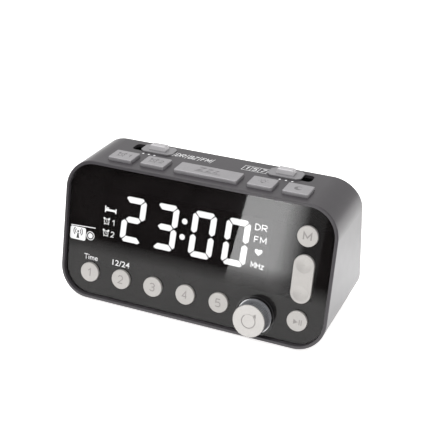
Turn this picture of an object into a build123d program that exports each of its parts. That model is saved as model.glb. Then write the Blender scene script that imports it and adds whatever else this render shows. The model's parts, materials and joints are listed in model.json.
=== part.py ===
from build123d import *

import os
from math import cos, hypot, pi, radians, sin

# Bedside clock radio: a rounded, wedge-sided case with a smoked front lens over an LED clock,
# five preset keys, a rocker and a tuning knob in front, and alarm keys and selectors on top.
# Every length is in millimetres.  +Z is up, the front faces -Y and the feet stand on Z = 0.

# ---- case ----
CASE_WIDTH = 160.0
FACE_HEIGHT = 80.7  # measured along the tilted front
CASE_DEPTH = 71.3  # at the bottom
FACE_TILT = 10.6  # the front leans back, degrees
REAR_LEAN = 12.0  # the rear leans forward, degrees
CORNER_RADIUS = 17.2
WALL = 1.8
EDGE_ROUND = 0.6
FOOT_HEIGHT = 1.2
FRONT_Y = -31.2  # bottom edge of the front, which centres the whole part on Y = 0
FIT_GAP = 0.1  # between a part and the case wall it sits in

# ---- front lens and the frame behind it ----
LENS_RECESS = 2.2
LENS_THICKNESS = 2.0
LENS_GAP = 0.2
FRAME_THICKNESS = 2.2
SKIRT_DEPTH = 5.0
SKIRT_WALL = 1.6
BUTTON_GAP = 0.2
DISPLAY_GAP = 0.2
LUG_RADIUS = 4.0  # screw lugs on the case walls
LUG_HEIGHT = 4.0
REAR_POST_HEIGHT = 10.0

# ---- front buttons, in face coordinates: x across, s up the face ----
BUTTON_RADIUS = 5.65
BUTTON_FACE = -0.7  # height of the button faces against the case rim
BUTTON_FLANGE = 0.9  # how much wider the retaining flange is
BUTTON_TRAVEL = 0.6
BUTTON_ROUND = 0.3
FLANGE_THICKNESS = 0.9
PRESET_X = -61.9
PRESET_PITCH = 20.0
PRESET_COUNT = 5
PRESET_S = 15.5
COLUMN_X = 63.4
MODE_S = 62.9
PLAY_S = 15.75
ROCKER_S = (31.5, 47.05)  # centres of the rocker's round ends
ROCKER_GAP = 0.35
ROCKER_AXIS = -7.4
ROCKER_BACK = -7.9
ROCKER_PIN = 0.8
ROCKER_NUB = 0.2
EAR_SPAN = (0.7, 2.2)  # how far past the rocker its two bearing ears lie
EAR_HALF_HEIGHT = 2.2
EAR_DEPTH = 2.6
DISH_RADIUS = 14.0
DISH_DEPTH = 0.7
PIN_GAP = 0.06

# ---- tuning knob ----
KNOB_X = 39.5
KNOB_S = 12.8
KNOB_RADIUS = 9.2
KNOB_FOOT_RADIUS = 9.5
KNOB_FRONT = 8.0
KNOB_CAP_THICKNESS = 0.9
KNOB_RING = (8.6, 9.85, -1.5, -0.9)  # inner and outer radius, back and front
KNOB_FLUTES = 56
FLUTE_DEPTH = 0.5
COLLAR = (10.55, 11.2, -1.7)  # inner and outer radius, front
BARREL_WALL = 1.2
BARREL_FRONT = 2.0  # solid part of the barrel behind the cap
HUB_RADIUS = 4.6
CAP_GROOVE = (3.8, 4.1, 0.15)  # inner and outer radius, and depth
SHAFT_RADIUS = 3.0
SHAFT_FLAT = 2.3
SHAFT_BACK = -11.0
BUSH_RADIUS = 3.6
ENCODER_SIZE = 12.4
ENCODER_FRONT = -6.6
ROTOR_RADIUS = 4.6
ROTOR_SPAN = (-10.6, -8.0)
LENS_BORE = 5.0

# ---- clock display ----
DISPLAY_BOX = (-58.4, 42.4, 34.6, 66.4)  # left, right, bottom and top of the module
DISPLAY_FACE = -4.4
BAR_DEPTH = 3.0
DIGIT_X = (-38.6, -18.75, 3.6, 23.3)
DIGIT_S = 50.3
DIGIT_HALF_WIDTH = 7.05
DIGIT_HALF_HEIGHT = 13.25
DIGIT_SLANT = 0.056
BAR_WIDTH = 3.45
MITRE_GAP = 0.7
CORNER_CUT = 2.6
TIME_SHOWN = ("abdeg", "abcdg", "abcdef", "abcdef")
COLON_DOTS = ((-7.5, 55.9), (-8.2, 46.9))
COLON_RADIUS = 1.65
ICON_WINDOWS = (
    (36.65, 61.3, 8.4, 5.0),
    (36.85, 54.4, 8.4, 5.0),
    (36.65, 47.3, 8.4, 5.0),
    (36.8, 40.1, 8.4, 5.0),
    (-53.0, 53.5, 8.6, 5.0),
    (-53.0, 46.5, 8.6, 5.0),
    (-53.0, 39.6, 8.6, 5.0),
)

# ---- front circuit board, parallel to the face ----
BOARD_FRONT = -12.0
BOARD_THICKNESS = 1.6
BOARD_BOX = (-67.0, 67.5, 5.0, 67.5)
BOARD_POSTS = ((-63.5, 60.0), (-63.5, 29.0), (49.5, 62.0), (50.5, 27.0))
POST_RADIUS = 2.8
TACT_SIZE = 6.0
TACT_HEIGHT = 3.2
TACT_PLUNGER = 1.7
PLUNGER_RISE = 0.3
STEM_GAP = 0.05

# ---- top keys, in top coordinates: x across, y back from the front edge ----
KEY_SPANS = ((-57.45, -43.2), (-37.6, -23.4), (-17.25, 19.6), (25.4, 39.65), (45.3, 59.6))
KEY_FRONT = 5.45
KEY_BACK = 17.15
KEY_RISE = 2.0
KEY_GAP = 0.25
KEY_FLANGE = 0.8
KEY_TRAVEL = 0.6
KEY_ROUND = 0.7
KEY_EDGE = 0.45

KEY_NAMES = ("alarm_1_key", "alarm_2_key", "snooze_key", "light_key", "sleep_key")

# ---- slide selectors ----
SELECTOR_X = (-38.0, 38.9)
SELECTOR_Y = 30.4
SELECTOR_PLATE = (19.4, 11.2, 0.7)
SELECTOR_GRIP = (10.2, 6.0, 3.0)
SELECTOR_CROWN = (8.8, 4.4)
GRIP_ROUND = 0.8
SELECTOR_THROW = 7.0
SLOT_SIZE = (24.0, 8.8)

# ---- top circuit board ----
TOP_BOARD_DEPTH = 9.6  # its upper face, below the case top
TOP_BOARD_BOX = (-64.0, 64.0, 8.0, 35.4)
TOP_POSTS = ((-60.0, 22.0), (0.0, 24.0), (60.0, 22.0))

# ---- rear cover ----
COVER_RECESS = 0.6
COVER_THICKNESS = 2.8
SCREW_U = 70.0
SCREW_V = (9.5, 71.0)
SCREW_RADIUS = 1.3
SCREW_HEAD_RADIUS = 2.5

SCREW_HEAD_HEIGHT = 1.4
SCREW_CROSS = (1.5, 0.3, 0.7)  # half length, half width and floor height of the cross recess

# ---- speaker ----
SPEAKER_U = -34.0
SPEAKER_V = 45.0
SPEAKER_RADIUS = 25.0
GASKET_BORE = 22.0
CONE_RADIUS = 21.0
MAGNET_RADIUS = 14.0
MAGNET_HEIGHT = 7.0
BASKET_WINDOW = 5.0  # half width
RIM_THICKNESS = 1.0
GRILLE_HOLE = 1.1
GRILLE_RINGS = 6
GRILLE_PITCH = 3.4

# ---- backup battery bay ----
BAY_U = 33.0
BAY_V = 47.0
BAY_SIZE = (52.0, 30.0)
BAY_DEPTH = 13.4
DOOR_GAP = 0.3
DOOR_THICKNESS = 2.0
HINGE_RADIUS = 1.2
HINGE_PIN = 0.7
CELL_RADIUS = 5.2
CELL_LENGTH = 44.0
CELL_TIP = (1.8, 1.2)  # radius and length
TRAY_WALL = 1.4
TRAY_FLOOR = 1.2
TRAY_MARGIN = 0.6
CONTACT_HALF = 4.0
SPRING_RADIUS = 2.4

# ---- main board and sockets, in plain X and Z ----
MAIN_BOARD_Z = 9.0
MAIN_BOARD_BOX = (-66.0, 66.0, -12.0, 33.0)
MAIN_POSTS = ((-60.0, -7.0), (60.0, -7.0), (-15.0, 27.0), (26.0, 27.0))
DC_JACK = (-52.0, 5.5)  # centre, and height of its axis above the board
DC_BORE = 3.15
DC_PIN = 1.05
DC_NOSE = 4.2
PHONE_JACK = (-32.0, 2.8)
PHONE_BORE = 1.8
PHONE_NOSE = 2.7
PHONE_DEPTH = 13.0
USB_X = 46.0
USB_SIZE = (13.2, 5.8)
SOCKET_FRONT = 18.0
SOCKET_SHOULDER = 31.8
SOCKET_MOUTH = 35.8
SOCKET_GAP = 0.15
DC_BODY = (4.5, 11.0)  # half width and height
PHONE_BODY = (3.6, 5.8)
USB_WALL = 0.4
USB_LEG = 0.2
SHIELD_BOX = (-44.0, -12.0, -8.0, 14.0)
SHIELD_HEIGHT = 5.0
SHIELD_WALL = 0.4
CAPACITORS = ((38.0, 2.0), (50.0, 2.0), (38.0, 12.0))
CAPACITOR = (3.2, 8.0)  # radius and height
RIBBON_SOCKET = 3.0  # height
FRONT_RIBBON_X = 19.0
FRONT_RIBBON_S = 24.5
TOP_RIBBON_Y = 19.75
AERIAL_U = -62.0
AERIAL_V = 24.0
AERIAL_HOLE = 1.3
GROMMET_NECK = 3.0

FACE = Plane(
    origin=(0, FRONT_Y, FOOT_HEIGHT),
    x_dir=(1, 0, 0),
    z_dir=(0, -cos(radians(FACE_TILT)), sin(radians(FACE_TILT))),
)
REAR = Plane(
    origin=(0, FRONT_Y + CASE_DEPTH, FOOT_HEIGHT),
    x_dir=(-1, 0, 0),
    z_dir=(0, cos(radians(REAR_LEAN)), sin(radians(REAR_LEAN))),
)
CASE_HEIGHT = FACE_HEIGHT * cos(radians(FACE_TILT))
TOP_Z = FOOT_HEIGHT + CASE_HEIGHT
TOP = Plane(
    origin=(0, FRONT_Y + FACE_HEIGHT * sin(radians(FACE_TILT)), TOP_Z),
    x_dir=(1, 0, 0),
    z_dir=(0, 0, 1),
)
LENS_BACK = -LENS_RECESS - LENS_THICKNESS
FRAME_BACK = LENS_BACK - FRAME_THICKNESS
COVER_INNER = -COVER_RECESS - COVER_THICKNESS
COVER_SEAT = -COVER_RECESS - 1.6
SPEAKER_SEAT = COVER_INNER - 2
BASKET_BACK = SPEAKER_SEAT - 8
TOP_BOARD_BACK = -TOP_BOARD_DEPTH - BOARD_THICKNESS
BOARD_BACK = BOARD_FRONT - BOARD_THICKNESS
BIG = 400.0


def block(plane, x, y, z):
    """A box on a plane, given as (low, high) along each of the plane's three directions."""
    size = Box(x[1] - x[0], y[1] - y[0], z[1] - z[0])
    return plane * (Pos((x[0] + x[1]) / 2, (y[0] + y[1]) / 2, (z[0] + z[1]) / 2) * size)


def disc(plane, x, y, radius, z):
    """A cylinder standing on a plane's direction, from z[0] to z[1]."""
    return plane * (Pos(x, y, (z[0] + z[1]) / 2) * Cylinder(radius, z[1] - z[0]))


def slab(plane, low, high):
    """Everything between two heights above a plane."""
    return block(plane, (-BIG / 2, BIG / 2), (-BIG / 2, BIG / 2), (low, high))


def section(inset):
    """The case's rounded outline, moved in by inset and drawn out along Y."""
    height = CASE_HEIGHT - 2 * inset
    outline = RectangleRounded(CASE_WIDTH - 2 * inset, height, CORNER_RADIUS - inset)
    middle = Plane(origin=(0, -BIG / 2, FOOT_HEIGHT + CASE_HEIGHT / 2), x_dir=(1, 0, 0), z_dir=(0, 1, 0))
    return extrude(middle * outline, BIG)


def body_between(inset, front, rear):
    """The case outline between a height above the face and a height above the rear."""
    return section(inset) & slab(FACE, -BIG / 4, front) & slab(REAR, -BIG / 4, rear)


def layer(inset, low, high):
    """The case outline as a plate parallel to the face."""
    return section(inset) & slab(FACE, low, high)


def polygon_prism(plane, points, low, high):
    """A straight prism on a plane, from its outline and two heights."""
    outline = make_face(Polyline(*points, close=True))
    return plane * (Pos(0, 0, low) * extrude(outline, high - low))


def capsule(plane, x, low_y, high_y, radius, z):
    """An upright stadium-shaped prism."""
    ends = disc(plane, x, low_y, radius, z) + disc(plane, x, high_y, radius, z)
    return ends + block(plane, (x - radius, x + radius), (low_y, high_y), z)


def save(name, shape):
    """Write one named piece, whether it is one solid or a group of them."""
    solids = shape.solids()
    piece = solids[0] if len(solids) == 1 else Compound(children=list(solids))
    piece.label = name
    export_step(piece, f"parts/{name}.step")


def group(shapes):
    """Several separate solids as one shape."""
    return Compound(children=[solid for shape in shapes for solid in shape.solids()])


# ---- where things are ----
PRESETS = [PRESET_X + PRESET_PITCH * i for i in range(PRESET_COUNT)]
ROUND_BUTTONS = [(x, PRESET_S) for x in PRESETS] + [(COLUMN_X, MODE_S), (COLUMN_X, PLAY_S)]
ROCKER_MIDDLE = (ROCKER_S[0] + ROCKER_S[1]) / 2
TACT_PLACES = ROUND_BUTTONS + [(COLUMN_X, ROCKER_S[0]), (COLUMN_X, ROCKER_S[1])]
KEY_MIDDLES = [(a + b) / 2 for a, b in KEY_SPANS]
KEY_Y = (KEY_FRONT + KEY_BACK) / 2
SCREW_PLACES = [(side * SCREW_U, v) for side in (-1, 1) for v in SCREW_V]
FRAME_SCREWS = [(-72.5, 24.0), (72.5, 24.0), (-72.5, 57.0), (72.5, 55.0)]
SLOT_X = (SELECTOR_X[0] - SELECTOR_THROW / 2, SELECTOR_X[1] + SELECTOR_THROW / 2)
FEET = [(x, y) for x in (-60.0, 60.0) for y in (FRONT_Y + 13.0, FRONT_Y + 58.0)]
FOOT_RADIUS = 6.0
FOOT_POCKET = 0.7
MAIN_TOP = MAIN_BOARD_Z + BOARD_THICKNESS


# ---- case ----
def outer_case():
    """Seamless sleeve with the top openings, front lugs, rear screw posts and foot pockets."""
    shell = body_between(0, 0, 0)
    ends = shell.faces().sort_by(Axis.Y)
    shell = fillet(ends[0].edges() + ends[-1].edges(), EDGE_ROUND)
    shell -= section(WALL)
    inside = section(WALL - 0.2)
    for x, s in FRAME_SCREWS:
        side = (x, BIG / 2) if x > 0 else (-BIG / 2, x)
        level = (FRAME_BACK - LUG_HEIGHT, FRAME_BACK)
        lug = block(FACE, side, (s - LUG_RADIUS, s + LUG_RADIUS), level)
        lug += disc(FACE, x, s, LUG_RADIUS, level)
        shell += lug & inside
        shell -= disc(FACE, x, s, SCREW_RADIUS + 0.2, (FRAME_BACK - 5, FRAME_BACK + 1))
    for u, v in SCREW_PLACES:
        side = (u, BIG / 2) if u > 0 else (-BIG / 2, u)
        level = (COVER_INNER - REAR_POST_HEIGHT, COVER_INNER)
        post = block(REAR, side, (v - LUG_RADIUS, v + LUG_RADIUS), level)
        post += disc(REAR, u, v, LUG_RADIUS, level)
        shell += post & inside
        shell -= disc(REAR, u, v, SCREW_RADIUS, (COVER_INNER - 8, COVER_INNER + 1))
    for low, high in KEY_SPANS:
        opening = block(
            TOP,
            (low - KEY_GAP, high + KEY_GAP),
            (KEY_FRONT - KEY_GAP, KEY_BACK + KEY_GAP),
            (-WALL - 1, 1),
        )
        shell -= fillet(opening.edges().filter_by(Axis.Z), KEY_ROUND)
    for x in SLOT_X:
        slot = RectangleRounded(SLOT_SIZE[0], SLOT_SIZE[1], 2.5)
        shell -= TOP * (Pos(x, SELECTOR_Y, -WALL - 1) * extrude(slot, WALL + 2))
    for x, y in TOP_POSTS:
        shell += disc(TOP, x, y, POST_RADIUS, (-TOP_BOARD_DEPTH, -WALL + 0.2))
        shell -= disc(TOP, x, y, SCREW_RADIUS, (-TOP_BOARD_DEPTH - 1, -WALL - 1))
    for x, y in MAIN_POSTS:
        shell += disc(Plane.XY, x, y, POST_RADIUS, (FOOT_HEIGHT + WALL - 0.2, MAIN_BOARD_Z))
        shell -= disc(Plane.XY, x, y, SCREW_RADIUS, (FOOT_HEIGHT + WALL + 0.5, MAIN_BOARD_Z + 1))
    for x, y in FEET:
        shell -= disc(Plane.XY, x, y, FOOT_RADIUS + 0.05, (FOOT_HEIGHT - 1, FOOT_HEIGHT + FOOT_POCKET))
    return shell


def front_frame():
    """Black frame plate that carries the lens, the buttons and the display."""
    frame = layer(WALL + FIT_GAP, FRAME_BACK, LENS_BACK)
    skirt = layer(WALL + FIT_GAP, FRAME_BACK - SKIRT_DEPTH, FRAME_BACK)
    skirt -= section(WALL + FIT_GAP + SKIRT_WALL)
    keep_low = block(FACE, (-50, 50), (-20, 12), (FRAME_BACK - SKIRT_DEPTH, FRAME_BACK))
    frame += skirt & keep_low
    left, right, low, high = DISPLAY_BOX
    across = (left - DISPLAY_GAP, right + DISPLAY_GAP)
    frame -= block(FACE, across, (low - DISPLAY_GAP, high + DISPLAY_GAP), (-20, 0))
    for x, s in ROUND_BUTTONS:
        frame -= disc(FACE, x, s, BUTTON_RADIUS + BUTTON_GAP, (-20, 0))
    frame -= capsule(FACE, COLUMN_X, *ROCKER_S, BUTTON_RADIUS + ROCKER_GAP, (-20, 0))
    frame -= disc(FACE, KNOB_X, KNOB_S, LENS_BORE, (-20, 0))
    for x, s in FRAME_SCREWS:
        frame -= disc(FACE, x, s, SCREW_RADIUS, (FRAME_BACK - 1, LENS_BACK - 0.4))
    for x, s in BOARD_POSTS:
        frame += disc(FACE, x, s, POST_RADIUS, (BOARD_FRONT, FRAME_BACK))
        frame -= disc(FACE, x, s, SCREW_RADIUS, (BOARD_FRONT - 1, FRAME_BACK))
    for side in (-1, 1):
        near, far = sorted(COLUMN_X + side * (BUTTON_RADIUS + reach) for reach in EAR_SPAN)
        height = (ROCKER_MIDDLE - EAR_HALF_HEIGHT, ROCKER_MIDDLE + EAR_HALF_HEIGHT)
        frame += block(FACE, (near, far), height, (FRAME_BACK - EAR_DEPTH, FRAME_BACK))
    frame -= rocker_pin(ROCKER_PIN + PIN_GAP, BUTTON_RADIUS + 3.0)
    relief = block(TOP, (KEY_SPANS[0][0] - 1.5, KEY_SPANS[-1][1] + 1.5), (2.6, 30), (-4.4, 2))
    return frame - relief


def rocker_pin(radius, reach):
    """A cylinder along X on the rocker's pivot."""
    pin = Cylinder(radius, 2 * reach, rotation=(0, 90, 0))
    return FACE * (Pos(COLUMN_X, ROCKER_MIDDLE, ROCKER_AXIS) * pin)


def front_lens():
    """Smoked acrylic sheet that covers the whole front."""
    lens = layer(WALL + LENS_GAP, LENS_BACK, -LENS_RECESS)
    for x, s in ROUND_BUTTONS:
        lens -= disc(FACE, x, s, BUTTON_RADIUS + BUTTON_GAP, (-20, 0))
    lens -= capsule(FACE, COLUMN_X, *ROCKER_S, BUTTON_RADIUS + ROCKER_GAP, (-20, 0))
    return lens - disc(FACE, KNOB_X, KNOB_S, LENS_BORE, (-20, 0))


# ---- front buttons ----
def round_button(x, s):
    """A push button with a retaining flange and a stem that meets its switch."""
    flange_front = FRAME_BACK - 0.05
    cap = Cylinder(BUTTON_RADIUS, BUTTON_FACE - flange_front)
    cap = fillet(cap.edges().filter_by(GeomType.CIRCLE).sort_by(Axis.Z)[-1], BUTTON_ROUND)
    cap = FACE * (Pos(x, s, (BUTTON_FACE + flange_front) / 2) * cap)
    flange_back = flange_front - FLANGE_THICKNESS
    flange = disc(FACE, x, s, BUTTON_RADIUS + BUTTON_FLANGE, (flange_back, flange_front))
    stem_end = BOARD_FRONT + TACT_HEIGHT + PLUNGER_RISE + BUTTON_TRAVEL + STEM_GAP
    return cap + flange + disc(FACE, x, s, TACT_PLUNGER, (stem_end, flange_front - 0.5))


def volume_rocker():
    """Long rocker with a dished pad at each end, a pivot pin and two switch nubs."""
    depth = BUTTON_FACE - ROCKER_BACK
    length = ROCKER_S[1] - ROCKER_S[0] + 2 * BUTTON_RADIUS
    bar = extrude(SlotOverall(length, BUTTON_RADIUS * 2, rotation=90), depth)
    bar = fillet(bar.faces().sort_by(Axis.Z)[-1].edges(), BUTTON_ROUND)
    bar = FACE * (Pos(COLUMN_X, ROCKER_MIDDLE, ROCKER_BACK) * bar)
    for s in ROCKER_S:
        dish = FACE * (Pos(COLUMN_X, s, BUTTON_FACE + DISH_RADIUS - DISH_DEPTH) * Sphere(DISH_RADIUS))
        bar -= dish
        bar += disc(FACE, COLUMN_X, s, TACT_PLUNGER, (ROCKER_BACK - ROCKER_NUB, ROCKER_BACK + 0.5))
    return bar + rocker_pin(ROCKER_PIN, BUTTON_RADIUS + 2.0)


def tact_switches(plane, places, base):
    """The small square switches on a board, drawn with their plungers pressed."""
    bodies = []
    for x, y in places:
        half = TACT_SIZE / 2
        case = block(plane, (x - half, x + half), (y - half, y + half), (base, base + TACT_HEIGHT))
        top = base + TACT_HEIGHT
        bodies.append(case + disc(plane, x, y, TACT_PLUNGER, (top - 0.5, top + PLUNGER_RISE)))
    return group(bodies)


# ---- tuning knob and encoder ----
def knob_disc(radius, low, high):
    """A cylinder on the knob's axis."""
    return disc(FACE, KNOB_X, KNOB_S, radius, (low, high))


def flute_outline(crest, height):
    """Zigzag outline of the knurled knob, at a height along its axis."""
    points = []
    for i in range(2 * KNOB_FLUTES):
        radius = crest if i % 2 == 0 else crest - FLUTE_DEPTH
        turn = pi * i / KNOB_FLUTES
        points.append((radius * cos(turn), radius * sin(turn), height))
    return make_face(Polyline(*points, close=True))


def fluted(low, high, foot_radius):
    """Knurled drum of the knob, between two heights, as wide at its foot as foot_radius."""
    drum = loft([flute_outline(foot_radius, 0), flute_outline(KNOB_RADIUS, high - low)], ruled=True)
    return FACE * (Pos(KNOB_X, KNOB_S, low) * drum)


def d_shaft(radius, flat, low, high):
    """A round shaft with one flat."""
    cut = block(
        FACE,
        (KNOB_X - radius, KNOB_X + radius),
        (KNOB_S + flat, KNOB_S + radius + 1),
        (low - 1, high + 1),
    )
    return knob_disc(radius, low, high) - cut


def encoder_shaft():
    """D-shaft that turns with the knob and carries its press."""
    return d_shaft(SHAFT_RADIUS, SHAFT_FLAT, SHAFT_BACK, KNOB_FRONT - 3)


def knob_barrel():
    """Knurled drum with a hub for the shaft and a hollow back."""
    cap_back = KNOB_FRONT - KNOB_CAP_THICKNESS
    drum = fluted(KNOB_RING[3], cap_back, KNOB_FOOT_RADIUS)
    drum += knob_disc(KNOB_RING[0], KNOB_RING[2], KNOB_RING[3])
    hollow = knob_disc(KNOB_RING[0] - BARREL_WALL, KNOB_RING[2] - 1, cap_back - BARREL_FRONT)
    hollow -= knob_disc(HUB_RADIUS, KNOB_RING[2] - 2, cap_back)
    return drum - hollow - encoder_shaft()


def knob_ring():
    """Bright ring round the foot of the knob."""
    inner, outer, back, front = KNOB_RING
    return knob_disc(outer, back, front) - knob_disc(inner, back - 1, front + 1)


def knob_cap():
    """Face of the knob with an engraved ring."""
    cap = fluted(KNOB_FRONT - KNOB_CAP_THICKNESS, KNOB_FRONT, KNOB_RADIUS)
    bevel = Cone(KNOB_RADIUS + KNOB_FRONT, KNOB_RADIUS - BUTTON_ROUND, KNOB_FRONT + BUTTON_ROUND)
    cap &= FACE * (Pos(KNOB_X, KNOB_S, (KNOB_FRONT - BUTTON_ROUND) / 2) * bevel)
    inner, outer, depth = CAP_GROOVE
    groove = knob_disc(outer, KNOB_FRONT - depth, KNOB_FRONT + 1)
    return cap - (groove - knob_disc(inner, KNOB_FRONT - 1, KNOB_FRONT + 2))


def knob_collar():
    """Low ring on the lens round the knob, flattened where it meets the case rim."""
    inner, outer, front = COLLAR
    ring = knob_disc(outer, -LENS_RECESS, front) - knob_disc(inner, -LENS_RECESS - 1, front + 1)
    return ring & section(WALL + LENS_GAP)


def encoder_body():
    """Square housing with a bush for the shaft and a chamber for the rotor."""
    half = ENCODER_SIZE / 2
    housing = block(
        FACE,
        (KNOB_X - half, KNOB_X + half),
        (KNOB_S - half, KNOB_S + half),
        (BOARD_FRONT, ENCODER_FRONT),
    )
    housing += knob_disc(BUSH_RADIUS, ENCODER_FRONT - 0.5, -LENS_RECESS - 0.4)
    housing -= knob_disc(ROTOR_RADIUS + 0.2, BOARD_FRONT + 0.4, ROTOR_SPAN[1] + 0.2)
    return housing - knob_disc(SHAFT_RADIUS + 0.06, ROTOR_SPAN[1], 0)


def encoder_rotor():
    """Detent wheel inside the encoder, turned by the D-shaft."""
    return knob_disc(ROTOR_RADIUS, *ROTOR_SPAN) - d_shaft(
        SHAFT_RADIUS + 0.05, SHAFT_FLAT + 0.05, ROTOR_SPAN[0] - 1, ROTOR_SPAN[1] + 1
    )


# ---- clock display ----
def mirrored(points, flip_x, flip_y):
    """A list of points mirrored about either axis."""
    return [(-x if flip_x else x, -y if flip_y else y) for x, y in points]


def bar_outlines():
    """Outlines of the seven bars of an upright digit centred on the origin, by letter."""
    half_w, half_h = DIGIT_HALF_WIDTH, DIGIT_HALF_HEIGHT
    outer = (half_w - CORNER_CUT / 2, half_h - CORNER_CUT / 2)
    inner = (half_w - BAR_WIDTH, half_h - BAR_WIDTH)
    along = (outer[0] - inner[0], outer[1] - inner[1])
    shift = MITRE_GAP / 2 / hypot(*along)
    step = (-along[1] * shift, along[0] * shift)
    top_tip = (outer[0] + step[0], outer[1] + step[1])
    top_root = (inner[0] + step[0], half_h - BAR_WIDTH)
    top = [(half_w - CORNER_CUT, half_h), top_tip, top_root]
    top += [(-x, y) for x, y in reversed(top)]
    side = [
        (outer[0] - step[0], outer[1] - step[1]),
        (half_w, half_h - CORNER_CUT),
        (half_w, BAR_WIDTH / 2),
        (half_w - BAR_WIDTH / 2, MITRE_GAP / 2),
        (half_w - BAR_WIDTH, BAR_WIDTH / 2),
        (half_w - BAR_WIDTH, inner[1] - step[1]),
    ]
    reach = half_w - BAR_WIDTH / 2 - MITRE_GAP
    flank = half_w - BAR_WIDTH - MITRE_GAP
    middle = [(flank, BAR_WIDTH / 2), (reach, 0), (flank, -BAR_WIDTH / 2)]
    middle += [(-x, y) for x, y in reversed(middle)]
    return {
        "a": top,
        "b": side,
        "c": mirrored(side, False, True),
        "d": mirrored(top, False, True),
        "e": mirrored(side, True, True),
        "f": mirrored(side, True, False),
        "g": middle,
    }


def bar_prism(digit, letter, low):
    """One slanted bar of one digit."""
    x0 = DIGIT_X[digit]
    points = [(x0 + x + DIGIT_SLANT * y, DIGIT_S + y) for x, y in bar_outlines()[letter]]
    return polygon_prism(FACE, points, low, DISPLAY_FACE)


def bars(lit):
    """The light bars that glow at the time shown, or the ones that stay dark."""
    picked = [
        bar_prism(digit, letter, DISPLAY_FACE - BAR_DEPTH)
        for digit, shown in enumerate(TIME_SHOWN)
        for letter in "abcdefg"
        if (letter in shown) == lit
    ]
    if lit:
        level = (DISPLAY_FACE - BAR_DEPTH, DISPLAY_FACE)
        picked += [disc(FACE, x, s, COLON_RADIUS, level) for x, s in COLON_DOTS]
    return group(picked)


def icon_windows():
    """Small light windows beside the digits."""
    panes = []
    for x, s, wide, tall in ICON_WINDOWS:
        panes.append(
            block(
                FACE,
                (x - wide / 2, x + wide / 2),
                (s - tall / 2, s + tall / 2),
                (DISPLAY_FACE - BAR_DEPTH, DISPLAY_FACE),
            )
        )
    return group(panes)


def display_housing(holes):
    """Dark block of the clock display, pierced for its bars and icon windows."""
    left, right, low, high = DISPLAY_BOX
    housing = block(FACE, (left, right), (low, high), (BOARD_FRONT, DISPLAY_FACE))
    for hole in holes:
        housing -= hole
    return housing


def front_board():
    """Circuit board behind the face."""
    left, right, low, high = BOARD_BOX
    board = block(FACE, (left, right), (low, high), (BOARD_BACK, BOARD_FRONT))
    for x, s in BOARD_POSTS:
        board -= disc(FACE, x, s, SCREW_RADIUS + 0.2, (BOARD_FRONT - 3, BOARD_FRONT + 1))
    return board


# ---- top keys and selectors ----
def top_key(span):
    """A rectangular key with rounded edges, a hidden flange and a switch stem."""
    low, high = span
    foot = -WALL - 0.05
    cap = Box(high - low, KEY_BACK - KEY_FRONT, KEY_RISE - foot)
    cap = fillet(cap.edges().filter_by(Axis.Z), KEY_ROUND)
    cap = fillet(cap.faces().sort_by(Axis.Z)[-1].edges(), KEY_EDGE)
    middle = (low + high) / 2
    cap = TOP * (Pos(middle, KEY_Y, (KEY_RISE + foot) / 2) * cap)
    flange = block(
        TOP,
        (low - KEY_FLANGE, high + KEY_FLANGE),
        (KEY_FRONT - KEY_FLANGE, KEY_BACK + KEY_FLANGE),
        (foot - 1, foot),
    )
    stem_end = -TOP_BOARD_DEPTH + TACT_HEIGHT + PLUNGER_RISE + KEY_TRAVEL + STEM_GAP
    return cap + flange + disc(TOP, middle, KEY_Y, TACT_PLUNGER, (stem_end, foot - 0.5))


def selector(x):
    """Slide selector: a cover plate, a raised grip and a lever that reaches its switch."""
    length, depth, thick = SELECTOR_PLATE
    base = 0.05
    corner = 2.2
    half_x, half_y = length / 2, depth / 2
    outline = [
        (half_x - corner, half_y),
        (half_x, half_y - corner),
        (half_x, corner - half_y),
        (half_x - corner, -half_y),
        (corner - half_x, -half_y),
        (-half_x, corner - half_y),
        (-half_x, half_y - corner),
        (corner - half_x, half_y),
    ]
    place = [(x + a, SELECTOR_Y + b) for a, b in outline]
    plate = polygon_prism(TOP, place, base, base + thick)
    grip_x, grip_y, grip_z = SELECTOR_GRIP
    foot = Plane(origin=(0, 0, 0)) * Rectangle(grip_x, grip_y)
    crown = Plane(origin=(0, 0, grip_z)) * Rectangle(*SELECTOR_CROWN)
    grip = loft([foot, crown])
    grip = fillet(grip.edges().sort_by(Axis.Z)[-4:], GRIP_ROUND)
    plate += TOP * (Pos(x, SELECTOR_Y, base + thick) * grip)
    plate += block(TOP, (x - 3, x + 3), (SELECTOR_Y - 2.5, SELECTOR_Y + 2.5), (-3.4, base + 0.3))
    return plate + block(TOP, (x - 1, x + 1), (SELECTOR_Y - 1, SELECTOR_Y + 1), (-6.0, -3.0))


def slide_switches():
    """Metal-cased slide switches under the selectors."""
    cases = []
    for x in SLOT_X:
        case = block(TOP, (x - 8.5, x + 8.5), (SELECTOR_Y - 3.2, SELECTOR_Y + 3.2), (-TOP_BOARD_DEPTH, -3.9))
        travel = SELECTOR_THROW / 2 + 1.3
        case -= block(TOP, (x - travel, x + travel), (SELECTOR_Y - 1.3, SELECTOR_Y + 1.3), (-6.4, -3))
        cases.append(case)
    return group(cases)


def top_board():
    """Circuit board under the keys and selectors."""
    left, right, front, back = TOP_BOARD_BOX
    board = block(TOP, (left, right), (front, back), (TOP_BOARD_BACK, -TOP_BOARD_DEPTH))
    for x, y in TOP_POSTS:
        board -= disc(TOP, x, y, SCREW_RADIUS + 0.2, (-TOP_BOARD_DEPTH - 3, -TOP_BOARD_DEPTH + 1))
    return board


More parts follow.
